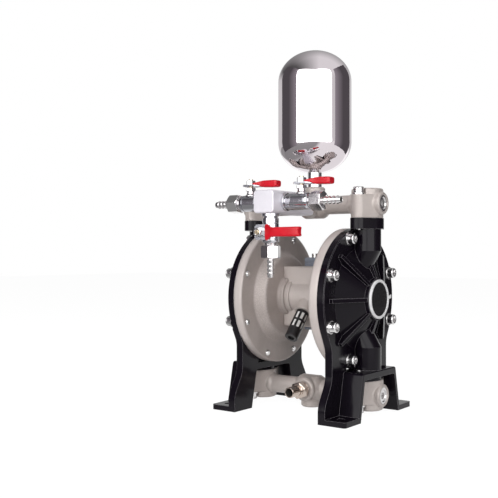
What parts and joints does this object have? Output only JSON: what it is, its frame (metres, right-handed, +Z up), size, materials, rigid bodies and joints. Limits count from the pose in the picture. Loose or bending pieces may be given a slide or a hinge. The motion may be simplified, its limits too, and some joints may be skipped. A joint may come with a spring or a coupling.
{
  "type": "air-operated double diaphragm pump",
  "caption": "Compact air-operated double diaphragm pump with ribbed fluid covers on cast feet, pulsation tank on top and an outlet block with ball valves",
  "frame": {"origin": "on the floor, midway between the four foot bolt holes, under the middle of the diaphragm shaft", "axes": "+Z up, +X along the diaphragm shaft to the right fluid cover, -Y to the front, where the muffler, the suction barb and the outlet block point"},
  "size_m": [0.158, 0.1658, 0.3534],
  "materials": {
    "black_powder_coat": "semi-gloss black powder coat over cast aluminium",
    "grey_cast_paint": "warm grey paint over a sand casting",
    "blue_grey_paint": "bluish grey painted casting",
    "bright_chrome": "bright nickel-chrome plate",
    "mirror_stainless": "mirror-polished stainless steel",
    "satin_aluminium": "satin blasted aluminium",
    "ground_steel": "ground stainless steel",
    "zinc_plate": "zinc-plated steel sheet",
    "bearing_bronze": "plain bronze",
    "black_rubber": "matt moulded rubber",
    "white_ptfe": "plain white fluoropolymer",
    "red_vinyl": "dipped red vinyl",
    "black_plastic": "moulded black plastic",
    "white_felt": "porous white plastic",
    "emblem_black": "glossy black, bare",
    "emblem_white": "glossy white ring"
  },
  "bodies": {
    "pump_body": {"right_fluid_cover": "black_powder_coat", "left_fluid_cover": "black_powder_coat", "right_air_chamber": "grey_cast_paint", "left_air_chamber": "grey_cast_paint", "right_diaphragm": "black_rubber", "left_diaphragm": "black_rubber", "shaft_bushes": "bearing_bronze", "shaft_seals": "black_rubber", "centre_body": "grey_cast_paint", "air_valve_gasket": "black_rubber", "air_valve_body": "blue_grey_paint", "air_valve_caps": "blue_grey_paint", "air_valve_screws": "bright_chrome", "exhaust_muffler": "black_plastic", "muffler_element": "white_felt", "discharge_manifold": "grey_cast_paint", "suction_manifold": "grey_cast_paint", "manifold_end_plugs": "bright_chrome", "check_ball_seats": "white_ptfe", "port_seals": "black_rubber", "cover_screws": "bright_chrome", "screw_washers": "bright_chrome", "manifold_screws": "bright_chrome", "emblem_discs": "emblem_black", "emblem_rings": "emblem_white", "hub_nipples": "bright_chrome", "surge_tank": "mirror_stainless", "discharge_block": "satin_aluminium", "suction_hose_barb": "bright_chrome", "valve_seat_rings": "white_ptfe", "valve_hose_barbs": "bright_chrome", "valve_gland_nuts": "bright_chrome", "left_valve_body": "bright_chrome", "right_valve_body": "bright_chrome", "drop_valve_body": "bright_chrome"},
    "diaphragm_rod": {"diaphragm_shaft": "ground_steel", "inner_diaphragm_plates": "zinc_plate", "outer_diaphragm_plates": "satin_aluminium"},
    "air_spool": {"air_valve_spool": "satin_aluminium", "spool_seals": "black_rubber"},
    "right_suction_check": {"right_suction_ball": "white_ptfe"},
    "left_suction_check": {"left_suction_ball": "white_ptfe"},
    "right_discharge_check": {"right_discharge_ball": "white_ptfe"},
    "left_discharge_check": {"left_discharge_ball": "white_ptfe"},
    "left_valve_handle": {"left_valve_ball": "bright_chrome", "left_valve_stem": "bearing_bronze", "left_valve_lever": "zinc_plate", "left_valve_grip": "red_vinyl", "left_valve_nut": "bright_chrome"},
    "right_valve_handle": {"right_valve_ball": "bright_chrome", "right_valve_stem": "bearing_bronze", "right_valve_lever": "zinc_plate", "right_valve_grip": "red_vinyl", "right_valve_nut": "bright_chrome"},
    "drop_valve_handle": {"drop_valve_ball": "bright_chrome", "drop_valve_stem": "bearing_bronze", "drop_valve_lever": "zinc_plate", "drop_valve_grip": "red_vinyl", "drop_valve_nut": "bright_chrome"}
  },
  "joints": [
    {"name": "diaphragm_stroke", "type": "slide", "parent": "pump_body", "child": "diaphragm_rod", "axis": [1, 0, 0], "range_m": [-0.006, 0.006], "deforming": ["left_diaphragm", "right_diaphragm"]},
    {"name": "spool_shift", "type": "slide", "parent": "pump_body", "child": "air_spool", "axis": [0, 0, 1], "range_m": [-0.005, 0.005]},
    {"name": "right_suction_lift", "type": "slide", "parent": "pump_body", "child": "right_suction_check", "axis": [0, 0, 1], "range_m": [0, 0.005]},
    {"name": "left_suction_lift", "type": "slide", "parent": "pump_body", "child": "left_suction_check", "axis": [0, 0, 1], "range_m": [0, 0.005]},
    {"name": "right_discharge_lift", "type": "slide", "parent": "pump_body", "child": "right_discharge_check", "axis": [0, 0, 1], "range_m": [0, 0.005]},
    {"name": "left_discharge_lift", "type": "slide", "parent": "pump_body", "child": "left_discharge_check", "axis": [0, 0, 1], "range_m": [0, 0.005]},
    {"name": "left_valve_turn", "type": "hinge", "parent": "pump_body", "child": "left_valve_handle", "pos_m": [-0.0255, -0.068, 0.2], "axis": [0, 0, 1], "range_deg": [-90, 0]},
    {"name": "right_valve_turn", "type": "hinge", "parent": "pump_body", "child": "right_valve_handle", "pos_m": [0.0315, -0.068, 0.2], "axis": [0, 0, 1], "range_deg": [-90, 0]},
    {"name": "drop_valve_turn", "type": "hinge", "parent": "pump_body", "child": "drop_valve_handle", "pos_m": [0.003, -0.076, 0.172], "axis": [0, -1, 0], "range_deg": [-90, 0]}
  ]
}
